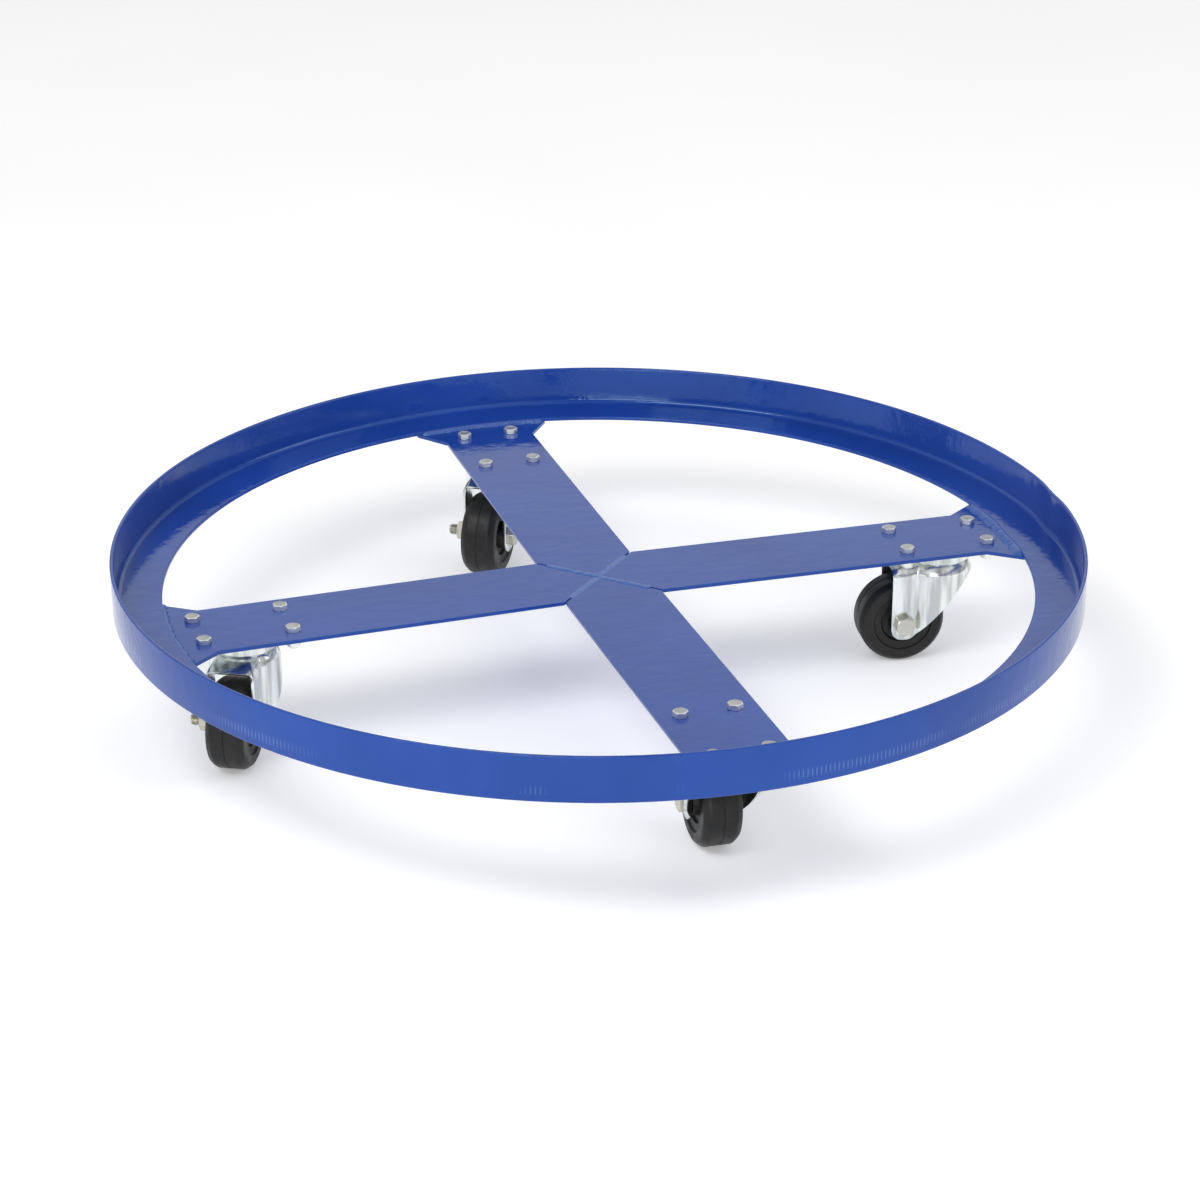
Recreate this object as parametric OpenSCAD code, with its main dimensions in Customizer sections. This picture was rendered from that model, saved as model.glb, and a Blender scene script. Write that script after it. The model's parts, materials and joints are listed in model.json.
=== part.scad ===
// Drum dolly: a rolled steel angle ring on a welded cross of four flat arms,
// carried by four bolted swivel casters with solid rubber wheels.
// Millimetres, +Z up. The origin is on the floor, under the centre of the ring.

/* [Ring] */
// Outside diameter of the rolled angle ring
ring_d = 808; // [760:1:860]
// Height of the ring's standing wall
angle_h = 38; // [32:1:50]
// Width of the ring's inward leg
angle_leg = 41; // [36:1:44]
// Thickness of the ring's angle
angle_t = 3.2; // [2.5:0.1:4.5]
// Fillet radius in the root of the angle
root_r = 4.5; // [2:0.5:6]
// Rounding of the angle's two toes
toe_r = 1; // [0.5:0.1:1.2]
// Width of the butt weld that closes the ring
seam_w = 6; // [4:1:9]
// Angle around the ring at which that weld lies
seam_angle = -4.4; // [-6:0.1:5]

/* [Arms] */
// Width of each flat arm
arm_w = 82.5; // [78:0.5:88]
// Thickness of the arms
arm_t = 3.2; // [2.5:0.1:4.5]
// Full width of an arm's flared end
flare_w = 124; // [100:1:130]
// Distance from the centre at which an arm starts to flare
flare_start = 333; // [325:1:345]
// Distance from the centre at which an arm has its full width
flare_end = 361; // [350:1:366]
// Distance from the centre at which an arm ends, under the ring's leg
arm_end = 388; // [375:1:395]
// Angles by which the outer ends of the arms lie off the square cross
arm_offsets = [-1.6, 0, 1.1, 0.5]; // [-3:0.1:3]
// Leg of the fillet weld between an arm and the ring
fillet_w = 5; // [4:0.5:6]
// Gap that each centre weld fills
weld_gap = 1.5; // [1:0.5:3]
// Length of the centre welds from the middle to each end
centre_weld_l = 49; // [40:1:54]

/* [Casters] */
// Height from the floor to the top of a caster
caster_h = 106; // [104:0.5:112]
// Distance of each swivel axis from the centre
caster_r = 304.4; // [300:0.1:308]
// Length of the caster's top plate, along the arm
top_plate_l = 92; // [88:1:98]
// Width of the caster's top plate, across the arm
top_plate_w = 60; // [56:1:66]
// Thickness of the top plate
top_plate_t = 3; // [2.5:0.5:3.5]
// Bolt spacing along the arm
bolt_along = 73; // [71:0.5:75]
// Bolt spacing across the arm
bolt_across = 44.5; // [43:0.5:46]
// Offset of the axle from the swivel axis
trail = 32; // [30:1:35]
// Direction in which each fork points, from the first arm round
fork_angles = [172.2, 235.6, 242.3, 87.2]; // [0:0.1:360]

/* [Wheels] */
// Wheel diameter
wheel_d = 75; // [72:1:76]
// Tread width
wheel_w = 32; // [28:1:33]
// Width of the groove round the middle of the tread
groove_w = 1.2; // [0.8:0.1:2]
// Shank diameter of the axle bolt
axle_d = 10; // [9:1:10]
// Outside diameter of the sleeve that the wheel turns on
sleeve_d = 15; // [14:1:16]

/* [Fasteners] */
// Shank diameter of the mounting bolts
bolt_d = 6.3; // [5:0.1:8]
// Size across the flats of the mounting bolts and nuts
bolt_af = 11.2; // [10:0.1:13]
// Height of a mounting bolt's head
bolt_head_h = 4.8; // [4:0.1:5.6]
// Size across the flats of the axle bolt and nut
axle_af = 16; // [15:0.5:17]
// Thread left standing out of the axle nut
axle_spare = 8; // [2:1:10]

/* [Hidden] */
$fn = 64;
RUN = 0.05;   // radial running clearance
GAP = 0.3;    // air between parts that move past each other

ring_r = ring_d / 2;
leg_r = ring_r - angle_leg;
seam_deg = seam_w / ring_r * 180 / PI;
ring_z = caster_h + arm_t;
seat_z = ring_z + angle_t;

plate_z = caster_h - top_plate_t;
axle_z = wheel_d / 2;
hole_d = bolt_d + 0.9;

// Swivel head, from the top plate down
load_ball_d = 6.4;
load_pitch = 21;
load_ball_n = 18;
load_z = caster_h - 8.4;
race_r = 28;
race_bottom = load_z + 1.9;
lip_w = 1.6;
lip_bottom = load_z - 3.6;
crown_r = 24;
crown_top = load_z - 1.9;
crown_bottom = load_z - 5.6;
thrust_ball_d = 4.8;
thrust_pitch = 12;
thrust_ball_n = 14;
thrust_z = crown_bottom - 1.4;
thrust_race_r = 17;
thrust_race_top = thrust_z - 1;
thrust_race_bottom = thrust_z - 4.2;
kingpin_r = 5.5;
kingpin_head_r = 8;
kingpin_head_h = 3;
countersink_r = 8.5;

// Pressed fork
fork_t = 2.5;
fork_r = 30;
fork_inner = 18;
fork_outer = fork_inner + fork_t;
fold_z = crown_bottom - 6;
leg_end = trail + 11.5;
tip_r = 10;
tip_z = axle_z - 4.5;
tip_rear = leg_end - tip_r;
tip_front = trail - 1.5;
knee_x = -15;
knee_z = fold_z - 13.5;
skirt_z = fold_z - 3;
arch_r = 8;

// Wheel
hub_half = fork_inner - GAP;
recess = 3;
shoulder_r = 6;
groove_depth = 0.5;
rim_seat_r = 28;
hub_r = 13;

nut_h = 7.9;
axle_nut_h = 8.4;
axle_head_h = 6.4;
nut_round = 1.2;

// ---- Helpers ----

// Direction of the outer end of arm i.
function arm_angle(i) = 90 * (i - 1) + arm_offsets[i - 1];

// Point p turned round the origin by the angle a.
function turned(p, a) =
    [p[0] * cos(a) - p[1] * sin(a), p[0] * sin(a) + p[1] * cos(a)];

// Puts children at the outer end of arm i, with X along the arm.
module on_arm(i) rotate([0, 0, arm_angle(i)]) children();

// Puts children at the swivel axis of caster i, square to its arm.
module at_caster(i) on_arm(i) translate([caster_r, 0, 0]) children();

// Puts children at the swivel axis of caster i, with X along the trail.
module at_fork(i)
    at_caster(i) rotate([0, 0, fork_angles[i - 1] - arm_angle(i)]) children();

// Puts children on the axle of caster i, with Z along the axle.
module at_axle(i)
    at_fork(i) translate([trail, 0, axle_z]) rotate([-90, 0, 0]) children();

module at_bolts()
    for (x = [-1, 1], y = [-1, 1])
        translate([x * bolt_along / 2, y * bolt_across / 2, 0]) children();

// A hexagonal head or nut standing on Z = 0, its top corners turned off round.
module hex_block(af, h, turned = 1)
    intersection() {
        cylinder(d = af / cos(30), h = h, $fn = 6);
        rotate_extrude() polygon([
            [0, 0], [af / 2 + turned, 0], [af / 2 + turned, h - turned],
            [af / 2 - 0.3, h], [0, h]
        ]);
    }

// ---- Ring ----

// Half section of the rolled angle, with a filleted root and rounded toes.
module angle_section()
    difference() {
        translate([leg_r, ring_z]) square([angle_leg, angle_h]);
        difference() {
            translate([leg_r - 1, seat_z])
                square([angle_leg - angle_t + 1, angle_h]);
            translate([ring_r - angle_t - root_r, seat_z]) difference() {
                square(root_r);
                translate([0, root_r]) circle(root_r);
            }
        }
        toe_cut(ring_r - angle_t, ring_z + angle_h);
        toe_cut(leg_r, seat_z);
    }

// The waste outside a quarter round of radius toe_r at the upper inner corner x, y.
module toe_cut(x, y)
    translate([x, y]) difference() {
        translate([-1, -toe_r]) square(toe_r + 1);
        translate([toe_r, -toe_r]) circle(toe_r);
    }

module ring()
    color([0.10, 0.20, 0.58])
        rotate([0, 0, seam_angle + seam_deg / 2])
            rotate_extrude(angle = 360 - seam_deg) angle_section();

module ring_seam_weld()
    color([0.13, 0.24, 0.62])
        rotate([0, 0, seam_angle - seam_deg / 2])
            rotate_extrude(angle = seam_deg) angle_section();

// ---- Arms ----

// A flat bar with a square mitred point at the centre and a flared outer end,
// which lies under the ring's leg.
module arm(i)
    color([0.12, 0.23, 0.62])
        difference() {
            translate([0, 0, caster_h]) linear_extrude(arm_t) intersection() {
                rotate(90 * (i - 1)) arm_outline(arm_offsets[i - 1]);
                circle(arm_end, $fn = 180);
            }
            at_caster(i) at_bolts() translate([0, 0, caster_h - 1])
                cylinder(d = hole_d, h = arm_t + 2);
        }

// Plan of an arm along X, with its outer end turned by the angle a.
module arm_outline(a) {
    half = arm_w / 2;
    wide = flare_w / 2;
    point = weld_gap / 2 * sqrt(2);
    polygon([
        [point, 0], [half + point, -half], turned([flare_start, -half], a),
        turned([flare_end, -wide], a), turned([arm_end, -wide], a),
        turned([arm_end, wide], a), turned([flare_end, wide], a),
        turned([flare_start, half], a), [half + point, half]
    ]);
}

// The fillet welds in the corners between the arms and the leg's inner edge.
module arm_end_welds() {
    spread = asin((flare_w / 2 - 6) / leg_r);
    color([0.14, 0.26, 0.64])
        for (i = [1:4]) on_arm(i)
            rotate([0, 0, -spread])
                rotate_extrude(angle = 2 * spread)
                    polygon([
                        [leg_r - fillet_w, ring_z], [leg_r, ring_z],
                        [leg_r, seat_z - toe_r]
                    ]);
}

// The crossed root welds between the arms' mitred points.
module centre_welds()
    color([0.14, 0.26, 0.64])
        translate([0, 0, caster_h]) linear_extrude(arm_t)
            for (a = [45, 135]) rotate(a)
                square([2 * centre_weld_l, weld_gap], center = true);

// ---- Caster mounting fasteners ----

module mounting_bolts(i)
    color([0.82, 0.83, 0.80])
        at_caster(i) at_bolts() {
            translate([0, 0, ring_z]) hex_block(bolt_af, bolt_head_h);
            translate([0, 0, plate_z - nut_h - 1])
                cylinder(d = bolt_d, h = ring_z - plate_z + nut_h + 1);
        }

module mounting_nuts(i)
    color([0.78, 0.79, 0.77])
        at_caster(i) at_bolts()
            translate([0, 0, plate_z]) mirror([0, 0, 1])
                difference() {
                    hex_block(bolt_af, nut_h, nut_round);
                    translate([0, 0, -1]) cylinder(d = bolt_d, h = nut_h + 2);
                }

// ---- Swivel head ----

// Flat plate with rounded corners, and a round race pressed down from it.
module top_plate(i)
    color([0.80, 0.82, 0.82])
        at_caster(i) difference() {
            union() {
                translate([0, 0, plate_z]) linear_extrude(top_plate_t) plate_outline();
                translate([0, 0, lip_bottom]) cylinder(r = race_r, h = plate_z - lip_bottom);
            }
            translate([0, 0, lip_bottom - 1])
                cylinder(r = race_r - lip_w, h = race_bottom - lip_bottom + 1);
            translate([0, 0, load_z]) race_groove(load_pitch, load_ball_d);
            translate([0, 0, plate_z - 10]) cylinder(r = kingpin_r, h = 20);
            translate([0, 0, caster_h - top_plate_t])
                cylinder(r1 = kingpin_r, r2 = countersink_r, h = top_plate_t);
            at_bolts() translate([0, 0, plate_z - 1])
                cylinder(d = hole_d, h = top_plate_t + 2);
        }

module plate_outline() {
    corner = 7;
    x = top_plate_l / 2;
    y = top_plate_w / 2;
    square([2 * x, 2 * (y - corner)], center = true);
    square([2 * (x - corner), 2 * y], center = true);
    for (sx = [-1, 1], sy = [-1, 1])
        translate([sx * (x - corner), sy * (y - corner)]) circle(corner);
}

// The round track that a ring of balls rolls in.
module race_groove(pitch, ball_d)
    rotate_extrude() translate([pitch, 0]) circle(d = ball_d + 2 * RUN);

module ball_ring(pitch, ball_d, count)
    for (k = [0:count - 1])
        rotate([0, 0, k * 360 / count]) translate([pitch, 0, 0]) sphere(d = ball_d);

// Rivet that ties the fork to the top plate, flush on top and headed below.
module kingpin(i)
    color([0.72, 0.73, 0.72])
        at_caster(i) {
            translate([0, 0, thrust_race_bottom])
                cylinder(r = kingpin_r, h = caster_h - top_plate_t - thrust_race_bottom);
            translate([0, 0, caster_h - top_plate_t])
                cylinder(r1 = kingpin_r, r2 = countersink_r, h = top_plate_t);
            translate([0, 0, thrust_race_bottom - kingpin_head_h])
                rotate_extrude() polygon([
                    [0, 0], [kingpin_head_r - 2, 0], [kingpin_head_r, 1.4],
                    [kingpin_head_r, kingpin_head_h], [0, kingpin_head_h]
                ]);
        }

// Hardened cup under the fork, held by the rivet's lower head.
module thrust_race(i)
    color([0.70, 0.71, 0.70])
        at_caster(i) difference() {
            translate([0, 0, thrust_race_bottom])
                cylinder(r = thrust_race_r, h = thrust_race_top - thrust_race_bottom);
            translate([0, 0, thrust_z]) race_groove(thrust_pitch, thrust_ball_d);
            translate([0, 0, thrust_race_bottom - 1]) cylinder(r = kingpin_r, h = 10);
        }

module load_balls(i)
    color([0.85, 0.86, 0.87])
        at_caster(i) translate([0, 0, load_z])
            ball_ring(load_pitch, load_ball_d, load_ball_n);

module thrust_balls(i)
    color([0.85, 0.86, 0.87])
        at_caster(i) translate([0, 0, thrust_z])
            ball_ring(thrust_pitch, thrust_ball_d, thrust_ball_n);

// ---- Fork ----

// Side view of the fork: upright trailing edge, rounded tip, raked leading edge
// with a knee below the crown.
module fork_side() {
    dx = tip_front - knee_x;
    dz = knee_z - tip_z;
    reach = sqrt(dx * dx + dz * dz);
    tangent = 180 - atan2(dz, dx) + acos(tip_r / reach);
    for (x = [tip_front, tip_rear]) translate([x, tip_z]) circle(tip_r);
    polygon([
        [leg_end, tip_z], [leg_end, crown_top + 1], [-fork_r, crown_top + 1],
        [-fork_r, skirt_z], [knee_x - skirt_z + knee_z, skirt_z], [knee_x, knee_z],
        [tip_front + tip_r * cos(tangent), tip_z + tip_r * sin(tangent)],
        [tip_front, tip_z - tip_r], [tip_rear, tip_z - tip_r], [tip_rear, tip_z]
    ]);
}

// Solid body whose skin is the pressed sheet; inset is the sheet's thickness.
module fork_form(inset) {
    side = fold_z - inset / 2;
    roof = inset > 0 ? crown_bottom : crown_top;
    translate([0, 0, -1]) cylinder(r = fork_r - inset, h = side + 1);
    translate([0, 0, side])
        cylinder(r1 = fork_r - inset, r2 = crown_r - inset, h = roof - side);
    intersection() {
        rotate([90, 0, 0]) translate([0, 0, -fork_r]) linear_extrude(2 * fork_r)
            polygon([
                [0, -1], [leg_end + inset, -1], [leg_end + inset, side],
                [crown_r, roof], [0, roof]
            ]);
        rotate([90, 0, 90]) linear_extrude(2 * fork_r)
            arch_outline(fork_outer - inset, fold_z + 4 - inset, arch_r - inset);
    }
}

// End view of the two legs and the bend that joins them.
module arch_outline(half, top, bend_r) {
    translate([-half, -1]) square([2 * half, top - bend_r + 1]);
    translate([bend_r - half, -1]) square([2 * (half - bend_r), top + 1]);
    for (s = [-1, 1])
        translate([s * (half - bend_r), top - bend_r]) circle(bend_r);
}

// One pressing: round crown, sloping shoulder, two legs and an arch between.
module fork(i)
    color([0.78, 0.80, 0.80])
        at_fork(i) difference() {
            intersection() {
                fork_form(0);
                rotate([90, 0, 0]) translate([0, 0, -50]) linear_extrude(100) fork_side();
            }
            fork_form(fork_t);
            translate([0, 0, load_z]) race_groove(load_pitch, load_ball_d);
            translate([0, 0, thrust_z]) race_groove(thrust_pitch, thrust_ball_d);
            cylinder(r = kingpin_r + RUN, h = caster_h);
            translate([trail, 0, axle_z]) rotate([90, 0, 0])
                cylinder(d = axle_d, h = 100, center = true);
        }

// ---- Axle and wheel ----

module axle_sleeve(i)
    color([0.66, 0.67, 0.66])
        at_axle(i) difference() {
            cylinder(d = sleeve_d, h = 2 * fork_inner, center = true);
            cylinder(d = axle_d, h = 2 * fork_inner + 2, center = true);
        }

module axle_bolt(i)
    color([0.80, 0.80, 0.74])
        at_axle(i) {
            tail = fork_outer + axle_nut_h + axle_spare;
            translate([0, 0, -tail]) cylinder(d = axle_d, h = tail + fork_outer);
            translate([0, 0, fork_outer]) hex_block(axle_af, axle_head_h);
        }

module axle_nut(i)
    color([0.80, 0.80, 0.74])
        at_axle(i) translate([0, 0, -fork_outer]) mirror([0, 0, 1])
            difference() {
                hex_block(axle_af, axle_nut_h, nut_round);
                translate([0, 0, -1]) cylinder(d = axle_d, h = axle_nut_h + 2);
            }

// Half section of the solid rubber wheel, X outwards from the axle.
module wheel_section() {
    r = wheel_d / 2;
    half = wheel_w / 2;
    hub_in = sleeve_d / 2 + RUN;
    for (s = [0, 1]) mirror([0, s]) {
        difference() {
            translate([hub_in, 0]) square([r - hub_in, half]);
            translate([r - shoulder_r, half - shoulder_r]) difference() {
                square(shoulder_r + 1);
                circle(shoulder_r);
            }
            polygon([
                [hub_r + 1, half - recess], [rim_seat_r - 2, half - recess],
                [rim_seat_r, half + 1], [hub_r, half + 1]
            ]);
            translate([r - groove_depth, -1]) square([1, 1 + groove_w / 2]);
        }
        translate([hub_in, 0]) square([hub_r - hub_in - 1, hub_half]);
    }
}

module wheel(i)
    color([0.09, 0.09, 0.09])
        at_axle(i) rotate_extrude() wheel_section();

// ---- Assembly ----

ring();
ring_seam_weld();
arm_end_welds();
centre_welds();
for (i = [1:4]) {
    arm(i);
    mounting_bolts(i);
    mounting_nuts(i);
    top_plate(i);
    kingpin(i);
    thrust_race(i);
    load_balls(i);
    thrust_balls(i);
    fork(i);
    axle_sleeve(i);
    axle_bolt(i);
    axle_nut(i);
    wheel(i);
}
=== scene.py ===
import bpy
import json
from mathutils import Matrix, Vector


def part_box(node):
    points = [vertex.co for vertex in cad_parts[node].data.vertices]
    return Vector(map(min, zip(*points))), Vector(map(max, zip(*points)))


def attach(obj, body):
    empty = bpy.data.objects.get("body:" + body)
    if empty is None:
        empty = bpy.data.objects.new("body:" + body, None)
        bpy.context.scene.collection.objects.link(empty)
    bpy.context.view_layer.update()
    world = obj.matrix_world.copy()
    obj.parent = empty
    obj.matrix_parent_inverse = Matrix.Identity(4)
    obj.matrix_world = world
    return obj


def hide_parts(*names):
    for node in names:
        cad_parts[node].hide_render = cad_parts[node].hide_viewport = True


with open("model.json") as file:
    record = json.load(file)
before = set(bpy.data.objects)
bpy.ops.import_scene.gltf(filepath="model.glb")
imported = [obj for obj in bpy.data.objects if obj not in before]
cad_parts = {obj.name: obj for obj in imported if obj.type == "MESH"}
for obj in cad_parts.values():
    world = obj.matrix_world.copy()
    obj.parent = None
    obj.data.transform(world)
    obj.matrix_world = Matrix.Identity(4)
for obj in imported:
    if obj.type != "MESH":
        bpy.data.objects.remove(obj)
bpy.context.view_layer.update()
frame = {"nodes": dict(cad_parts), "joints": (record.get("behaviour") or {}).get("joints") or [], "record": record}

import json
import random
from math import asin, atan2, ceil, cos, exp, floor, hypot, pi, radians, sin, sqrt, tan

import bmesh
import bpy
from mathutils import Matrix, Vector, noise


# ---------------------------------------------------------------------------------------
# Ring: one length of hot rolled steel angle, rolled round with its wall outside and its
# leg inside, butt welded shut and sprayed with glossy blue enamel. The drum's foot stands
# on the leg.
# ---------------------------------------------------------------------------------------

mounts = {mount["name"]: mount for mount in frame["record"]["mounts"]}
ring_low, ring_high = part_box("ring")
foot_z = ring_low.z
rim_z = ring_high.z
seat_z = mounts["drum_seat"]["pos_m"][2]
angle_t = seat_z - foot_z
wall_in = mounts["drum_recess"]["dims"]["r_mm"] / 1000
ring_r = wall_in + angle_t
leg_w = 0.041
leg_r = ring_r - leg_w
root_r = 0.0045
toe_r = 0.001
seam_at = radians(-4.4)
seam_w = 0.006
seam_kink = 0.0016
kink_reach = radians(2.6)
roller_ticks = 690


def rounded(corners, steps=5):
    """Closed outline through (x, y, radius) corners, each one turned into an arc."""
    points = []
    for k, (x, y, r) in enumerate(corners):
        here = Vector((x, y))
        if r == 0:
            points.append(here)
            continue
        back = (Vector(corners[k - 1][:2]) - here).normalized()
        on = (Vector(corners[(k + 1) % len(corners)][:2]) - here).normalized()
        half = back.angle(on) / 2
        centre = here + (back + on).normalized() * (r / sin(half))
        start = (here + back * (r / tan(half)) - centre).normalized()
        end = (here + on * (r / tan(half)) - centre).normalized()
        turn = start.angle(end)
        for j in range(steps + 1):
            t = j / steps
            blend = (start * sin((1 - t) * turn) + end * sin(t * turn)) / sin(turn)
            points.append(centre + blend * r)
    return points


def skin(bm, rings, loop=False, caps=True):
    """Joins rings of equal length with quads. A loop joins the last ring to the first."""
    rows = [[bm.verts.new(point) for point in ring] for ring in rings]
    count = len(rows[0])
    for low, high in zip(rows, rows[1:] + rows[:1] if loop else rows[1:]):
        for k in range(count):
            bm.faces.new((low[k], low[(k + 1) % count], high[(k + 1) % count], high[k]))
    if caps and not loop:
        bm.faces.new(rows[0][::-1])
        bm.faces.new(rows[-1])


def place(piece, body, slot, *nodes):
    """Hangs a piece on its CAD body, in place of the plain CAD nodes it stands for."""
    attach(piece, body)
    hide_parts(*nodes)
    return piece


def stand(name, data):
    """Puts a new object into the scene."""
    thing = bpy.data.objects.new(name, data)
    bpy.context.scene.collection.objects.link(thing)
    return thing


def make(name, bm, material, sharp=32):
    """Turns mesh work into an object, smooth where faces meet below the sharp angle."""
    bmesh.ops.recalc_face_normals(bm, faces=bm.faces)
    mesh = bpy.data.meshes.new(name)
    bm.to_mesh(mesh)
    bm.free()
    mesh.shade_smooth()
    mesh.set_sharp_from_angle(angle=radians(sharp))
    mesh.materials.append(material)
    return stand(name, mesh)


def new_material(name):
    """A new material and its shader nodes."""
    material = bpy.data.materials.new(name)
    material.use_nodes = True
    return material, material.node_tree


def add(tree, kind, inputs=None, **settings):
    """Adds a shader node. Inputs are plain values, or sockets that feed them."""
    node = tree.nodes.new(kind)
    for key, value in settings.items():
        setattr(node, key, value)
    for key, value in (inputs or {}).items():
        if isinstance(value, bpy.types.NodeSocket):
            tree.links.new(value, node.inputs[key])
        else:
            node.inputs[key].default_value = value
    return node


def speckle(tree, scale, detail=2.0, roughness=0.5, stretch=(1, 1, 1)):
    """Noise that stays with the piece, at a scale in cycles per metre."""
    where = add(tree, "ShaderNodeTexCoord").outputs["Object"]
    where = add(tree, "ShaderNodeMapping", {"Vector": where, "Scale": stretch}).outputs[0]
    return add(tree, "ShaderNodeTexNoise", {
        "Vector": where, "Scale": scale, "Detail": detail, "Roughness": roughness}).outputs["Fac"]


def spread(tree, value, low, high, start=0.35, stop=0.65):
    """Stretches the middle of a noise value over low to high."""
    return add(tree, "ShaderNodeMapRange", {
        "Value": value, "From Min": start, "From Max": stop,
        "To Min": low, "To Max": high}).outputs[0]


def mix(tree, factor, first, second):
    """Mixes two colours by a factor."""
    node = add(tree, "ShaderNodeMix", data_type="RGBA")
    for key, value in ((0, factor), (6, first), (7, second)):
        socket = node.inputs[key]
        if isinstance(value, bpy.types.NodeSocket):
            tree.links.new(value, socket)
        else:
            socket.default_value = value
    return node.outputs[2]


def finish_with(tree, colour, roughness, *bumps):
    """Feeds the shader. Each bump is a height value and its depth in metres."""
    shader = tree.nodes["Principled BSDF"]
    tree.links.new(colour, shader.inputs["Base Color"])
    tree.links.new(roughness, shader.inputs["Roughness"])
    normal = None
    for height, depth in bumps:
        inputs = {"Height": height, "Distance": depth, "Strength": 1.0}
        if normal:
            inputs["Normal"] = normal
        normal = add(tree, "ShaderNodeBump", inputs).outputs[0]
    tree.links.new(normal, shader.inputs["Normal"])
    return shader


def enamel(name, peel, gloss, pale=0.0, marks=None):
    """Sprayed blue enamel: thick and thin coats, orange peel, and fine dust in the film. The pale value lifts the
    whole film towards a paler blue, which is a painted sheen. Marks get a faint bump and a paler painted
    highlight.
    """
    material, tree = new_material(name)
    coat = spread(tree, speckle(tree, 9, 3), 0, 1)
    colour = mix(tree, coat, (0.008, 0.040, 0.270, 1), (0.011, 0.052, 0.320, 1))
    # Pale specks of dust in the film; the pale value lifts the whole film towards this blue, as a painted sheen.
    dust = spread(tree, speckle(tree, 2600, 1), pale, pale + 0.22, 0.70, 0.80)
    colour = mix(tree, dust, colour, (0.08, 0.15, 0.42, 1))
    roughness = spread(tree, speckle(tree, 30, 4), gloss, gloss + 0.05)
    bumps = [
        (speckle(tree, 420, 1.5), peel),
        (speckle(tree, 60, 2, 0.5, (1.0, 1.6, 1.0)), peel * 5)]
    if marks:
        # The marks are real and pressed in faintly; their paler blue is a painted highlight.
        ticks_and_painted_highlight = marks(tree)
        colour = mix(tree, ticks_and_painted_highlight, colour, (0.14, 0.22, 0.50, 1))
        bumps.append((ticks_and_painted_highlight, 0.00003))
    shader = finish_with(tree, colour, roughness, *bumps)
    shader.inputs["IOR"].default_value = 1.5
    shader.inputs["Specular Tint"].default_value = (0.62, 0.94, 1.0, 1)
    return material


def roller_marks(tree):
    """Fine upright ticks left by the bending rolls, low on the outside of the wall. They are pressed in faintly,
    and their paler blue is a painted highlight.
    """
    where = add(tree, "ShaderNodeSeparateXYZ", {
        "Vector": add(tree, "ShaderNodeTexCoord").outputs["Object"]}).outputs
    round_way = add(tree, "ShaderNodeMath", {0: where["Y"], 1: where["X"]}, operation="ARCTAN2")
    turns = add(
        tree, "ShaderNodeMath", {0: round_way.outputs[0], 1: roller_ticks}, operation="MULTIPLY")
    wave = add(tree, "ShaderNodeMath", {0: turns.outputs[0]}, operation="SINE").outputs[0]
    tick = spread(tree, wave, 0, 0.55, 0.35, 1.0)
    level = add(tree, "ShaderNodeCombineXYZ", {"X": where["X"], "Y": where["Y"]}).outputs[0]
    out = add(tree, "ShaderNodeVectorMath", {0: level}, operation="LENGTH").outputs["Value"]
    outside = spread(tree, out, 0, 1, ring_r - 0.0022, ring_r - 0.0016)
    foot = spread(tree, where["Z"], 0, 1, foot_z + 0.005, foot_z + 0.008)
    head = spread(tree, where["Z"], 1, 0, foot_z + 0.011, foot_z + 0.014)
    patchy = spread(tree, speckle(tree, 14, 2), 0, 1, 0.48, 0.60)
    for limit in (foot, head, outside, patchy):
        tick = add(tree, "ShaderNodeMath", {0: tick, 1: limit}, operation="MULTIPLY").outputs[0]
    return tick


ring_enamel = enamel("blue_enamel_on_ring", 0.00007, 0.06, marks=roller_marks)
blue_enamel = enamel("blue_enamel", 0.00006, 0.06)


def angle_section():
    """Section of the rolled angle as (radius, height), with a filleted root and round toes."""
    return rounded([
        (leg_r, foot_z, 0.0006), (ring_r, foot_z, 0.0013), (ring_r, rim_z, 0.0007),
        (wall_in, rim_z, 0.0016), (wall_in, seat_z, root_r), (leg_r, seat_z, toe_r)])


def rolled_radius(angle):
    """How far the rolled angle strays inwards: soft waves, and straight ends at the seam."""
    waves = 0.0003 * (1 + sin(3 * angle + 0.7)) + 0.00015 * (1 + sin(7 * angle))
    off = (angle - seam_at + pi) % (2 * pi) - pi
    return -waves - seam_kink * exp(-(off / kink_reach) ** 2)


def ring_section_at(angle, section, proud=0.0):
    """The angle's section at one place round the ring, pushed out by proud."""
    stray = rolled_radius(angle)
    middle = Vector((ring_r - 0.006, foot_z + 0.006))
    points = []
    for point in section:
        grown = point + (point - middle).normalized() * proud
        r = min(grown.x, ring_r) + stray
        points.append(Vector((r * cos(angle), r * sin(angle), min(grown.y, rim_z))))
    return points


ring_steps = 540
ring_turn = 2 * pi - seam_w / ring_r
work = bmesh.new()
skin(work, [
    ring_section_at(seam_at + seam_w / ring_r / 2 + ring_turn * k / ring_steps, angle_section())
    for k in range(ring_steps + 1)])
ring = make("ring_angle", work, ring_enamel)
place(ring, "frame", "blue_paint", "ring")


# ---------------------------------------------------------------------------------------
# Ring seam weld: the two ends of the rolled angle meet here and are welded through, then
# ground almost flat, so that only a shallow kink and a faint swelling are left.
# ---------------------------------------------------------------------------------------

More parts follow.
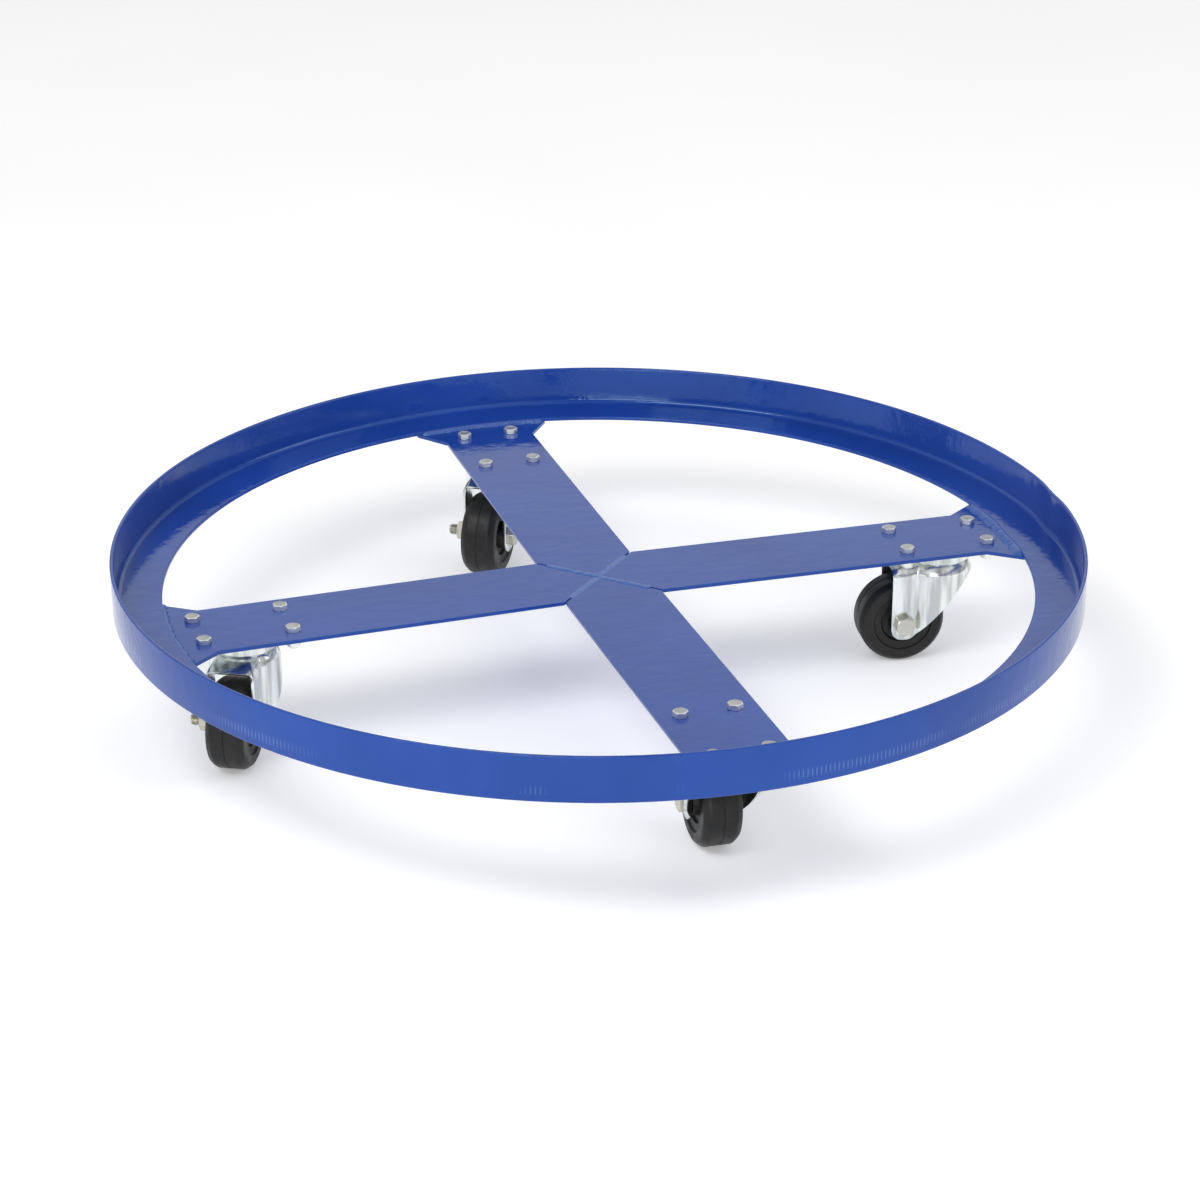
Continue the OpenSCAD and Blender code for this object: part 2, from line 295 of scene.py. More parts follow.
seam_steps = 14
seam_half = seam_w * 0.75 / ring_r
work = bmesh.new()
seam_rings = []
for k in range(seam_steps + 1):
    across = 2 * k / seam_steps - 1
    angle = seam_at + seam_half * across
    lump = 0.00010 * (1 - across ** 2) + 0.00001
    section = ring_section_at(angle, angle_section(), lump)
    for point in section:
        rough = 0.00012 * (1 - across ** 2) * noise.noise(point * 420)
        point.z = min(point.z + rough, rim_z)
    seam_rings.append(section)
skin(work, seam_rings)
seam = make("ring_seam_bead", work, blue_enamel, 60)
place(seam, "frame", "blue_paint", "ring_seam_weld")


# ---------------------------------------------------------------------------------------
# Arms: four flat steel bars, sheared to a square point at the centre and flared towards
# the ring. Their ends lie under the ring's leg. They are drilled for the casters and
# painted with the ring, and they were set a little out of square when it was welded up.
# ---------------------------------------------------------------------------------------

arm_low, arm_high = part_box("arm_1")
bar_half = 0.04125
flare_half = 0.062
flare_start = 0.333
flare_end = 0.361
arm_end = 0.388
weld_gap = 0.0015
bolt_along = 0.073
bolt_across = 0.0445
bolt_hole_r = 0.0036
edge_r = 0.0004
caster_at = {
    i: Vector(joint["pos_m"])
    for i in range(1, 5)
    for joint in frame["joints"] if joint["name"] == f"swivel_turn_{i}"}
caster_r = caster_at[1].xy.length
arm_angle = {i: atan2(spot.y, spot.x) for i, spot in caster_at.items()}


def baked(shaper):
    """The finished mesh of a curve or of an object with modifiers, which is used up."""
    bpy.context.view_layer.update()
    seen = shaper.evaluated_get(bpy.context.evaluated_depsgraph_get())
    mesh = bpy.data.meshes.new_from_object(seen)
    bpy.data.objects.remove(shaper)
    return mesh


def plate(name, outlines, low, high, edge, material):
    """A flat plate with eased edges. The first outline is its edge, the others are holes."""
    curve = bpy.data.curves.new(name, "CURVE")
    curve.dimensions = "2D"
    curve.fill_mode = "BOTH"
    curve.extrude = (high - low) / 2 - edge
    curve.bevel_depth = edge
    curve.bevel_resolution = 1
    curve.offset = -edge
    for outline in outlines:
        spline = curve.splines.new("POLY")
        spline.points.add(len(outline) - 1)
        for point, spot in zip(spline.points, outline):
            point.co = (spot[0], spot[1], 0, 1)
        spline.use_cyclic_u = True
    mesh = baked(stand(name, curve))
    bpy.data.curves.remove(curve)
    work = bmesh.new()
    work.from_mesh(mesh)
    bpy.data.meshes.remove(mesh)
    bmesh.ops.remove_doubles(work, verts=work.verts, dist=1e-6)
    bmesh.ops.translate(work, verts=work.verts, vec=(0, 0, (low + high) / 2))
    return make(name, work, material)


def circle(x, y, r, steps=32):
    """Round hole in a plate."""
    return [
        (x + r * cos(2 * pi * k / steps), y + r * sin(2 * pi * k / steps)) for k in range(steps)]


def bolt_places():
    """The four bolts of a caster, from its swivel axis, along and across the arm."""
    return [(x * bolt_along / 2, y * bolt_across / 2) for x in (-1, 1) for y in (-1, 1)]


def arm_outline(skew):
    """Plan of an arm along X. The square point stays true; the outer end turns by skew."""
    point = weld_gap / 2 * sqrt(2)
    turn = Matrix.Rotation(skew, 2)
    sides = []
    for side in (-1, 1):
        start = turn @ Vector((flare_start, side * bar_half))
        end = turn @ Vector((flare_end, side * flare_half))
        sides.append([(bar_half + point, side * bar_half, 0.0012), (*start, 0.003), (*end, 0.004)])
    reach = asin(flare_half / arm_end)
    curve = [
        (arm_end * cos(skew + reach * t / 12), arm_end * sin(skew + reach * t / 12), 0)
        for t in range(-12, 13)]
    return rounded([(point, 0, 0)] + sides[0] + curve + sides[1][::-1])


def level_shading(piece):
    """Lets the broad faces of a plate set its shading, so that its edges do not bend it."""
    even = piece.modifiers.new("level_shading", "WEIGHTED_NORMAL")
    even.keep_sharp = True
    even.weight = 100


for i in range(1, 5):
    square = Matrix.Rotation(radians(90 * (i - 1)), 4, "Z")
    skew = (arm_angle[i] - radians(90 * (i - 1)) + pi) % (2 * pi) - pi
    turn = Matrix.Rotation(skew, 2)
    holes = [
        circle(*(turn @ Vector((caster_r + x, y))), bolt_hole_r) for x, y in bolt_places()]
    arm = plate(
        f"arm_bar_{i}", [arm_outline(skew)] + holes, arm_low.z, arm_high.z, edge_r, blue_enamel)
    arm.data.transform(square)
    level_shading(arm)
    place(arm, "frame", "blue_paint", f"arm_{i}")


# ---------------------------------------------------------------------------------------
# Arm end welds: a fillet run in the corner between each arm's top and the leg's inner
# edge. The runs are left as laid, scalloped and lumpy, under the paint; each differs.
# ---------------------------------------------------------------------------------------

# The enamel on the welds is lifted to a paler blue all over: a painted sheen.
weld_enamel = enamel("blue_enamel_on_weld_painted_sheen", 0.00014, 0.18, pale=0.6)
weld_spread = asin((flare_half - 0.0035) / leg_r)
fillet_step = 0.0005


def lump_at(lumps, phase):
    """Lump at a place along a run, and how far into its ripple that place lies."""
    whole = int(floor(phase))
    part = phase - whole
    return lumps[whole] * (1 - part) + lumps[whole + 1] * part, part


def fillet(bm, middle, wide, bulge, pitch, seed):
    """One fillet run, laid in overlapping crescents, from the leg's edge down to the arm."""
    dice = random.Random(seed)
    count = ceil(2 * weld_spread * leg_r / fillet_step)
    lumps = [dice.uniform(-1, 1) for _ in range(int(2 * weld_spread * leg_r / pitch) + 6)]
    top_z = seat_z - 0.0005
    rings = []
    for k in range(count + 1):
        run = fillet_step * k
        angle = middle + weld_spread * (2 * k / count - 1)
        edge = leg_r + rolled_radius(angle)
        fade = min(1.0, min(run, fillet_step * count - run) / wide + 0.25)
        points = []
        for j in range(13):
            v = j / 12
            lump, part = lump_at(lumps, (run + 0.55 * wide * (2 * v - 1) ** 2) / pitch + 2)
            ragged = 0.10 * noise.noise(Vector((run * 700, seed, 0)))
            reach = wide * fade * (1 + 0.20 * lump + ragged)
            swell = bulge * fade * sin(pi * v) ** 0.7 * (1 + 0.5 * lump + 0.7 * (0.5 - part))
            grain = 0.00009 * noise.noise(Vector((run, v * wide, seed)) * 1300) * sin(pi * v)
            r = edge + 0.0002 - reach * (1 - v) - swell * 0.45
            z = foot_z + (top_z - foot_z) * v ** 1.1 * fade + (swell + grain) * 0.9
            points.append(Vector((r * cos(angle), r * sin(angle), min(z, seat_z + 0.0004))))
        for r, z in (
                (edge + 0.0008, points[-1].z), (edge + 0.0008, foot_z - 0.0006),
                (edge - wide * 0.6 * fade, foot_z - 0.0006)):
            points.append(Vector((r * cos(angle), r * sin(angle), z)))
        rings.append(points)
    skin(bm, rings)


work = bmesh.new()
for i, wide, bulge, pitch in (
        (1, 0.0072, 0.0006, 0.0040), (2, 0.0042, 0.0012, 0.0042),
        (3, 0.0036, 0.0007, 0.0030), (4, 0.0048, 0.0008, 0.0034)):
    fillet(work, arm_angle[i], wide, bulge, pitch, i)
end_welds = make("arm_end_beads", work, weld_enamel, 50)
place(end_welds, "frame", "blue_paint", "arm_end_welds")


# ---------------------------------------------------------------------------------------
# Centre welds: two crossed runs between the arms' points. One is left rough; the other
# was ground nearly flat before painting.
# ---------------------------------------------------------------------------------------

bead_step = 0.0005
centre_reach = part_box("centre_welds")[1].x * sqrt(2) - weld_gap / 2


def bead(bm, path, width, height, pitch, seed):
    """A weld bead along a path: crescent ripples, an uneven edge and a rounded crown."""
    dice = random.Random(seed)
    across = 14
    length = sum((b - a).length for a, b in zip(path, path[1:]))
    lumps = [dice.uniform(-1, 1) for _ in range(int(length / pitch) + 8)]
    rings = []
    run = 0.0
    for k, spot in enumerate(path):
        ahead = path[min(k + 1, len(path) - 1)]
        behind = path[max(k - 1, 0)]
        run += (spot - behind).length if k else 0
        way = (ahead - behind).normalized()
        side = Vector((-way.y, way.x))
        fade = min(1.0, 4 * min(run, length - run) / width)
        points = []
        for j in range(across + 1):
            v = 2 * j / across - 1
            lump, part = lump_at(lumps, (run + 0.45 * width * v * v) / pitch + 2)
            swell = 0.5 + 0.5 * fade
            ragged = 0.07 * noise.noise(Vector((run * 900, v > 0, seed)))
            toe = spot + side * (v * width / 2 * swell * (1 + 0.13 * lump + ragged))
            crown = height * swell * (1 - v * v) ** 0.6
            ripple = 1 + 0.30 * lump + 0.34 * (0.5 - part) * (1 - 0.5 * v * v)
            grain = 0.00008 * noise.noise(Vector((toe.x, toe.y, 0)) * 1500)
            level = arm_high.z + crown * ripple + grain * (1 - v * v)
            points.append(Vector((toe.x, toe.y, level)))
        for j in (across, 0):
            base = points[j].copy()
            base.z = arm_high.z - 0.0012
            points.append(base)
        rings.append(points)
    skin(bm, rings)


work = bmesh.new()
for angle, width, height, seed in ((-45, 0.0072, 0.0008, 11), (45, 0.0060, 0.00022, 12)):
    way = Vector((cos(radians(angle)), sin(radians(angle))))
    count = ceil(2 * centre_reach / bead_step)
    path = []
    for k in range(count + 1):
        along = centre_reach * (2 * k / count - 1)
        wander = 0.0007 * noise.noise(Vector((along * 60, seed, 0)))
        path.append(way * along + Vector((-way.y, way.x)) * wander)
    bead(work, path, width, height, 0.0028, seed)
centre_welds = make("centre_beads", work, weld_enamel, 50)
place(centre_welds, "frame", "blue_paint", "centre_welds")


# ---------------------------------------------------------------------------------------
# Mounting bolts and nuts: four hexagon bolts hold each caster, heads on top of the arm and
# nuts with a rounded collar below. They are bright zinc plated, a little yellow.
# ---------------------------------------------------------------------------------------

def zinc(name, cool, warm, gloss, grain, reflection_streaks=0.0):
    """Zinc plating over steel: bright, with a faint bloom and fine pits. Upright darker streaks can be painted in;
    they are a painted reflection.
    """
    material, tree = new_material(name)
    bloom = spread(tree, speckle(tree, 60, 3), 0, 1, 0.38, 0.62)
    colour = mix(tree, bloom, cool, warm)
    smut = spread(tree, speckle(tree, 170, 5, 0.65), 0, 0.22, 0.56, 0.80)
    colour = mix(tree, smut, colour, (0.42, 0.43, 0.42, 1))
    # Upright darker streaks in the colour: painted reflection bands, not marks in the zinc.
    painted_reflection_streak = spread(tree, speckle(tree, 150, 2, 0.5, (1, 1, 0.10)), 0, reflection_streaks, 0.40, 0.62)
    colour = mix(tree, painted_reflection_streak, colour, (0.40, 0.43, 0.43, 1))
    roughness = spread(tree, speckle(tree, 120, 4), gloss, gloss + 0.10)
    shader = finish_with(
        tree, colour, roughness,
        (speckle(tree, 1400, 2), grain),
        (speckle(tree, 130, 2), grain * 4))
    shader.inputs["Metallic"].default_value = 1.0
    return material


zinc_bolt = zinc("zinc_on_bolts", (0.90, 0.92, 0.92, 1), (0.92, 0.91, 0.86, 1), 0.40, 0.000008)
darker_top_zinc = zinc("zinc_on_bolt_tops", (0.38, 0.40, 0.41, 1), (0.50, 0.51, 0.49, 1), 0.30, 0.00003)
bolt_low, bolt_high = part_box("mounting_bolts_1")
nut_low, nut_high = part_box("mounting_nuts_1")
bolt_af = 0.0112
bolt_r = 0.00315
thread_pitch = 0.00127
heads_face = radians(-17.7)
heads_stray = 0.25


def hexagon(af, corner_r=0.0003):
    """Outline of a hexagon across its flats, with slightly eased corners."""
    reach = af / 2 / cos(pi / 6)
    corners = [(reach * cos(k * pi / 3), reach * sin(k * pi / 3)) for k in range(6)]
    points = []
    for k in range(6):
        here = Vector(corners[k])
        after = Vector(corners[(k + 1) % 6])
        points += [here.lerp(after, t) for t in (0.05, 0.2, 0.35, 0.5, 0.65, 0.8, 0.95)]
        points.append(after * (1 - corner_r / reach))
    return points


def disc(outline, r, z):
    """Ring of radius r at height z, with a point for each point of the outline."""
    return [Vector((*(p.normalized() * r), z)) for p in outline]


def flipped(rings):
    """The same rings, turned half round about the X axis."""
    return [[Vector((p.x, -p.y, -p.z)) for p in ring] for ring in rings]


def hex_rings(af, low, high, face, down_turned=False, dish=0.0):
    """Rings of a hexagon head from low to high, its corners turned off to the face radius."""
    outline = hexagon(af)
    slope = tan(radians(30))

    def turned(z, sense):
        return [
            Vector((p.x, p.y, z - sense * max(0.0, p.length - face) * slope)) for p in outline]

    top = [turned(high, 1), disc(outline, face * 0.985, high + 0.00002)]
    top += [disc(outline, face * share, high - dish) for share in (0.55, 0.1)]
    if down_turned:
        return [disc(outline, face * 0.98, low), turned(low, -1)] + top
    return [[Vector((p.x, p.y, low)) for p in outline]] + top


def threaded_rod(bm, r, low, high, pitch, steps=28):
    """A rod with a true helical thread, narrowed at its free low end."""
    rows = ceil((high - low) / pitch * 9)
    rings = []
    for k in range(rows + 1):
        z = low + (high - low) * k / rows
        lead = min(1.0, (z - low) / pitch)
        ring_points = []
        for j in range(steps):
            angle = 2 * pi * j / steps
            phase = (z / pitch - j / steps) % 1
            groove = 0.6 * pitch * abs(2 * phase - 1)
            rr = r - groove * 0.9 * lead - (1 - lead) * 0.7 * pitch
            ring_points.append(Vector((rr * cos(angle), rr * sin(angle), z)))
        rings.append(ring_points)
    rings.insert(0, [Vector((p.x * 0.9, p.y * 0.9, low - 0.0002)) for p in rings[0]])
    skin(bm, rings)


def moved(bm, build, matrix):
    """Runs build on a scratch mesh and adds the result to bm, placed by matrix."""
    part = bmesh.new()
    build(part)
    bmesh.ops.transform(part, verts=part.verts, matrix=matrix)
    mesh = bpy.data.meshes.new("part")
    part.to_mesh(mesh)
    part.free()
    bm.from_mesh(mesh)
    bpy.data.meshes.remove(mesh)


def mounting_bolt(bm):
    """Head with a washer face, standing on the arm, and its shank down to the free end."""
    head = hex_rings(
        bolt_af, arm_high.z + 0.0004, bolt_high.z - 0.0001, bolt_af * 0.445, dish=0.00035)
    washer = [
        disc(hexagon(bolt_af), bolt_af * 0.49, z) for z in (arm_high.z, arm_high.z + 0.00041)]
    skin(bm, washer + head)
    threaded_rod(bm, bolt_r, bolt_low.z, arm_high.z, thread_pitch)


def mounting_nut(bm):
    """Hexagon below the plate, with the rounded collar of a locking nut at its free end."""
    collar = 0.0022
    hexes = hex_rings(bolt_af, -nut_high.z, -nut_low.z - collar, bolt_af * 0.475)
    outline = hexagon(bolt_af)
    crown = (
        (0.0054, 0.0000), (0.0053, 0.0009), (0.0048, 0.0017), (0.0042, 0.0022), (0.0033, 0.0021))
    top = -nut_low.z - collar
    skin(bm, flipped(hexes[:2] + [disc(outline, r, top + z) for r, z in crown]))


def darken_head_tops(piece):
    """Gives the flat top of each head a darker zinc colour."""
    piece.data.materials.append(darker_top_zinc)
    for face in piece.data.polygons:
        if face.normal.z > 0.95 and face.center.z > bolt_high.z - 0.001:
            face.material_index = 1


dice = random.Random(5)
for i in range(1, 5):
    turn = Matrix.Rotation(arm_angle[i], 4, "Z")
    bolts, nuts = bmesh.new(), bmesh.new()
    for x, y in bolt_places():
        spot = turn @ Matrix.Translation((caster_r + x, y, 0))
        drawn_up = heads_face + dice.uniform(-heads_stray, heads_stray) - arm_angle[i]
        moved(bolts, mounting_bolt, spot @ Matrix.Rotation(drawn_up, 4, "Z"))
        moved(nuts, mounting_nut, spot @ Matrix.Rotation(dice.uniform(0, pi / 3), 4, "Z"))
    heads = make(f"caster_bolts_{i}", bolts, zinc_bolt, 25)
    darken_head_tops(heads)
    place(heads, "frame", "zinc_fastener", f"mounting_bolts_{i}")
    collars = make(f"caster_nuts_{i}", nuts, zinc_bolt, 25)
    place(collars, "frame", "zinc_fastener", f"mounting_nuts_{i}")


# ---------------------------------------------------------------------------------------
# Top plates: each caster hangs from a pressed steel plate, bolted flat under its arm. The
# round race for the upper balls is pressed down from it in two steps.
# ---------------------------------------------------------------------------------------

# The sheet zinc gets the upright darker streaks, which are a painted reflection.
zinc_sheet = zinc(
    "zinc_on_sheet", (0.80, 0.85, 0.85, 1), (0.86, 0.88, 0.84, 1), 0.16, 0.000005, 0.75)
top_low, top_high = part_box("top_plate_1")
top_z = top_high.z
sheet_t = 0.003
under_z = top_z - sheet_t
half_l, half_w = 0.046, 0.030
race_r = 0.028
race_bore = 0.0145
rivet_hole_r = 0.0055


def lathe(bm, outline, steps=72):
    """Turns a closed (radius, height) outline round the Z axis."""
    skin(bm, [
        [Vector((p[0] * cos(a), p[0] * sin(a), p[1])) for p in outline]
        for a in (2 * pi * k / steps for k in range(steps))], loop=True)


def top_race(bm):
    """The pressed race: a rounded skirt outside and the ball track's wall inside."""
    lathe(bm, rounded([
        (race_bore, under_z - 0.0035, 0.0006), (0.0238, under_z - 0.0035, 0.0006),
        (0.0264, top_low.z, 0.0004), (race_r, top_low.z, 0.0007),
        (race_r, under_z - 0.0022, 0.0016), (race_r + 0.0022, under_z, 0.0005),
        (race_bore, under_z + 0.0004, 0.0)], 4))


for i in range(1, 5):
    edge = rounded([
        (-half_l, -half_w, 0.007), (half_l, -half_w, 0.007), (half_l, half_w, 0.007),
        (-half_l, half_w, 0.007)], 8)
    holes = [circle(x, y, bolt_hole_r) for x, y in bolt_places()] + [circle(0, 0, rivet_hole_r)]
    flat = plate(f"caster_plate_{i}", [edge] + holes, under_z, top_z, 0.0006, zinc_sheet)
    work = bmesh.new()
    work.from_mesh(flat.data)
    moved(work, top_race, Matrix.Identity(4))
    work.to_mesh(flat.data)
    work.free()
    flat.data.shade_smooth()
    flat.data.set_sharp_from_angle(angle=radians(32))
    flat.data.transform(
        Matrix.Rotation(arm_angle[i], 4, "Z") @ Matrix.Translation((caster_r, 0, 0)))
    level_shading(flat)
    place(flat, "frame", "zinc_plate", f"top_plate_{i}")


# ---------------------------------------------------------------------------------------
# Swivel bearing: a rivet, two rings of hardened balls and the cup that holds the lower
# ring. They keep their turned and ground shapes and are greased, so they look darker.
# ---------------------------------------------------------------------------------------

turned_steel = zinc("turned_steel", (0.40, 0.40, 0.39, 1), (0.46, 0.45, 0.42, 1), 0.30, 0.00001)
ball_steel = zinc("ball_steel", (0.70, 0.71, 0.73, 1), (0.74, 0.75, 0.76, 1), 0.08, 0.000002)
for i in range(1, 5):
    for kind in ("kingpin", "thrust_race", "axle_sleeve"):
        frame["nodes"][f"{kind}_{i}"].material_slots[0].material = turned_steel
    for kind in ("load_balls", "thrust_balls"):
        frame["nodes"][f"{kind}_{i}"].material_slots[0].material = ball_steel


# ---------------------------------------------------------------------------------------
# Forks: one pressing of 2.5 mm steel. A round crown carries the balls, a bell shoulder
# falls to the fold, and the skirt runs down into two flat legs with a raked front edge.
# The back is open as an arch that the wheel stands out of.
# ---------------------------------------------------------------------------------------

fork_t = 0.0025
fork_r = 0.030
crown_r = 0.0235
crown_hole_r = 0.0056
crown_z = top_z - 0.0103
fold_z = crown_z - 0.0088
leg_y = 0.0205
leg_back = 0.0435
trail = 0.032
axle_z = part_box("wheel_1")[1].z / 2
tip_r = 0.010
tip_z = axle_z - 0.0045
tip_rear = leg_back - tip_r
tip_front = trail - 0.0015
knee_x, knee_z = -0.015, fold_z - 0.0144
skirt_z = fold_z - 0.0039
crease_r = 0.004
back_bend = 0.007
side_bend = 0.0035
axle_hole_r = 0.00505


def fork_plan():
    """Half of the fork's plan outline, from its front middle round to the back corner."""
    crease_x = sqrt((fork_r + crease_r) ** 2 - (leg_y + crease_r) ** 2)
    meet = atan2(leg_y + crease_r, crease_x)
    points = [
        Vector((fork_r * cos(pi - (pi - meet) * k / 48), fork_r * sin(pi - (pi - meet) * k / 48)))
        for k in range(49)]
    hollow = Vector((crease_x, leg_y + crease_r))
    for k in range(1, 7):
        angle = pi + meet + (pi / 2 - meet) * k / 6
        points.append(hollow + Vector((cos(angle), sin(angle))) * crease_r)
    start = points[-1].x
    points += [Vector((start + (leg_back - start) * k / 16, leg_y)) for k in range(1, 17)]
    return points


def leg_foot(x):
    """Height of the fork's lower edge at x: skirt, knee, raked front and rounded tip."""
    if x < knee_x:
        return min(skirt_z, knee_z + knee_x - x)
    reach = hypot(tip_front - knee_x, knee_z - tip_z)
    fall = atan2(knee_z - tip_z, tip_front - knee_x) + asin(tip_r / reach)
    if x < tip_front - tip_r * sin(fall):
        return knee_z - (x - knee_x) * tan(fall)
    off = max(tip_front - x, x - tip_rear, 0.0)
    return tip_z - sqrt(max(0.0, tip_r ** 2 - off ** 2))


def crown_height(r):
    """The crown, with the ball track's ridge pressed up round it."""
    ridge = 0.0007 * exp(-((r - 0.0215) / 0.0012) ** 2)
    track = 0.0009 * exp(-((r - 0.0175) / 0.0016) ** 2)
    return crown_z + ridge - track


def bell(spot, outline_r):
    """Shoulder height: from the crown's edge down to the fold at the outline."""
    share = min(1.0, max(0.0, (spot.length - crown_r) / (outline_r - crown_r)))
    return crown_height(crown_r) - (crown_height(crown_r) - fold_z) * share ** 1.15


def fork_columns():
    """Points of the half fork's outer face, one column for each place round the plan."""
    plan = fork_plan()
    back = [Vector((leg_back, leg_y * (1 - k / 12))) for k in range(1, 13)]
    crown_rows = [crown_hole_r + (crown_r - crown_hole_r) * k / 9 for k in range(10)]
    columns = []
    for k, edge in enumerate(plan + back):
        walled = k < len(plan)
        way = edge.normalized()
        column = [Vector((way.x * r, way.y * r, crown_height(r))) for r in crown_rows]
        if walled:
            near, far = plan[max(k - 1, 0)], plan[min(k + 1, len(plan) - 1)]
            run = (far - near).normalized() if k else Vector((0, 1))
            depth = abs(edge.x * run.y - edge.y * run.x)
            flat = min(1.0, max(0.0, (edge.x - 0.018) / 0.016))
            bend = side_bend + (back_bend - side_bend) * flat
        for j in range(1, 15):
            share = 1 - (1 - j / 14) ** 1.8
            r = crown_r + (edge.length - crown_r) * share
            spot = way * r
            if walled:
                inset = depth * (1 - r / edge.length)
            else:
                inset, bend = leg_y - abs(spot.y), back_bend
            drop = bend - sqrt(max(0.0, bend ** 2 - (bend - inset) ** 2)) if inset < bend else 0.0
            column.append(Vector((spot.x, spot.y, bell(spot, edge.length) - drop)))
        if walled:
            top = column[-1].z
            foot = min(leg_foot(edge.x), top - 0.001)
            column += [Vector((edge.x, edge.y, top + (foot - top) * j / 20)) for j in range(1, 21)]
        columns.append(column)
    return columns


def pressed_fork():
    """Mesh of one fork, about its swivel axis, trailing along +X."""
    work = bmesh.new()
    columns = fork_columns()
    both = columns + [[Vector((p.x, -p.y, p.z)) for p in column] for column in columns[-2:0:-1]]
    rows = [[work.verts.new(p) for p in column] for column in both]
    for near, far in zip(rows, rows[1:] + rows[:1]):
        for j in range(min(len(near), len(far)) - 1):
            work.faces.new((near[j], near[j + 1], far[j + 1], far[j]))
    bmesh.ops.recalc_face_normals(work, faces=work.faces)
    mesh = bpy.data.meshes.new("fork_form")
    work.to_mesh(mesh)
    work.free()
    shaper = stand("fork_form", mesh)
    up = max(mesh.polygons, key=lambda face: face.center.z)
    thick = shaper.modifiers.new("thick", "SOLIDIFY")
    thick.thickness = fork_t
    thick.offset = -1 if up.normal.z > 0 else 1
    thick.use_even_offset = True
    thick.use_quality_normals = True
    eased = shaper.modifiers.new("eased", "BEVEL")
    eased.width = 0.0005
    eased.segments = 2
    eased.limit_method = "ANGLE"
    eased.angle_limit = radians(55)
    drill = bmesh.new()
    skin(drill, [
        [Vector((x, y, z)) for x, z in circle(trail, axle_z, axle_hole_r)] for y in (-0.05, 0.05)])
    bmesh.ops.recalc_face_normals(drill, faces=drill.faces)
    bit = stand("bit", bpy.data.meshes.new("bit"))
    drill.to_mesh(bit.data)
    drill.free()
    holes = shaper.modifiers.new("holes", "BOOLEAN")
    holes.object = bit
    holes.operation = "DIFFERENCE"
    result = baked(shaper)
    bpy.data.objects.remove(bit)
    return result


def fork_place(i):
    """Where caster i's fork stands: its swivel axis and the direction of its trail."""
    spin = next(j for j in frame["joints"] if j["name"] == f"wheel_spin_{i}")
    way = Vector(spin["pos_m"]) - caster_at[i]
    turn = Matrix.Rotation(atan2(way.y, way.x), 4, "Z")
    return Matrix.Translation((caster_at[i].x, caster_at[i].y, 0)) @ turn


fork_mesh = pressed_fork()
for i in range(1, 5):
    work = bmesh.new()
    work.from_mesh(fork_mesh)
    bmesh.ops.transform(work, verts=work.verts, matrix=fork_place(i))
    fork = make(f"pressed_fork_{i}", work, zinc_sheet, 40)
    place(fork, f"swivel_{i}", "zinc_plate", f"fork_{i}")
bpy.data.meshes.remove(fork_mesh)


# ---------------------------------------------------------------------------------------
# Wheels: solid moulded hard rubber. The tread is rounded at its shoulders and has a thin
# groove round its middle; the sides step in to a raised hub round the sleeve.
# ---------------------------------------------------------------------------------------

wheel_r = axle_z
tread_half = 0.016
hub_half = 0.0177
bore_r = 0.00755


def moulded_rubber():
    """Dark hard rubber: satin, faintly mottled, with patches of grey dust."""
    material, tree = new_material("moulded_rubber")
    mottle = spread(tree, speckle(tree, 55, 4), 0, 1)
    colour = mix(tree, mottle, (0.007, 0.007, 0.007, 1), (0.013, 0.013, 0.012, 1))
    dust = spread(tree, speckle(tree, 420, 5, 0.7), 0, 0.4, 0.50, 0.72)
    colour = mix(tree, dust, colour, (0.040, 0.039, 0.037, 1))
    roughness = spread(tree, speckle(tree, 90, 3), 0.38, 0.54)
    shader = finish_with(
        tree, colour, roughness,
        (speckle(tree, 1100, 3), 0.00005),
        (speckle(tree, 90, 2), 0.0001))
    shader.inputs["Specular IOR Level"].default_value = 0.32
    return material


rubber = moulded_rubber()


def wheel_outline():
    """Closed (radius, half width) outline of the wheel's section, both sides alike."""
    side = [
        (bore_r, hub_half, 0.0003), (0.0115, hub_half, 0.0010),
        (0.0125, tread_half - 0.0050, 0.0008), (0.0180, tread_half - 0.0046, 0.0006),
        (0.0188, tread_half - 0.0022, 0.0006), (0.0250, tread_half - 0.0018, 0.0006),
        (0.0258, tread_half, 0.0007), (0.0335, tread_half, 0.0035),
        (wheel_r, tread_half - 0.0052, 0.0048)]
    groove = [(wheel_r, 0.0006, 0.0002), (wheel_r - 0.0005, 0.0004, 0.0001)]
    half = side + groove
    other = [(r, -y, curve) for r, y, curve in reversed(half)]
    return rounded(half + other, 5)


def axle_place(i):
    """Turns a piece made upright about Z onto the axle of caster i."""
    lay = Matrix.Translation((trail, 0, axle_z)) @ Matrix.Rotation(-pi / 2, 4, "X")
    return fork_place(i) @ lay


for i in range(1, 5):
    work = bmesh.new()
    lathe(work, wheel_outline(), 96)
    bmesh.ops.transform(work, verts=work.verts, matrix=axle_place(i))
    wheel = make(f"rubber_wheel_{i}", work, rubber, 35)
    place(wheel, f"roller_{i}", "black_rubber", f"wheel_{i}")


# ---------------------------------------------------------------------------------------
# Axle bolts and nuts: a hexagon bolt through both legs and the sleeve, with a nut on the
# far side and some bare thread left standing out.
# ---------------------------------------------------------------------------------------

zinc_axle = zinc("zinc_on_axle", (0.52, 0.52, 0.48, 1), (0.62, 0.60, 0.50, 1), 0.28, 0.00001)
axle_af = 0.016
axle_r = 0.005
axle_pitch = 0.0015
head_h = 0.0064
nut_h = 0.0084
spare = 0.008


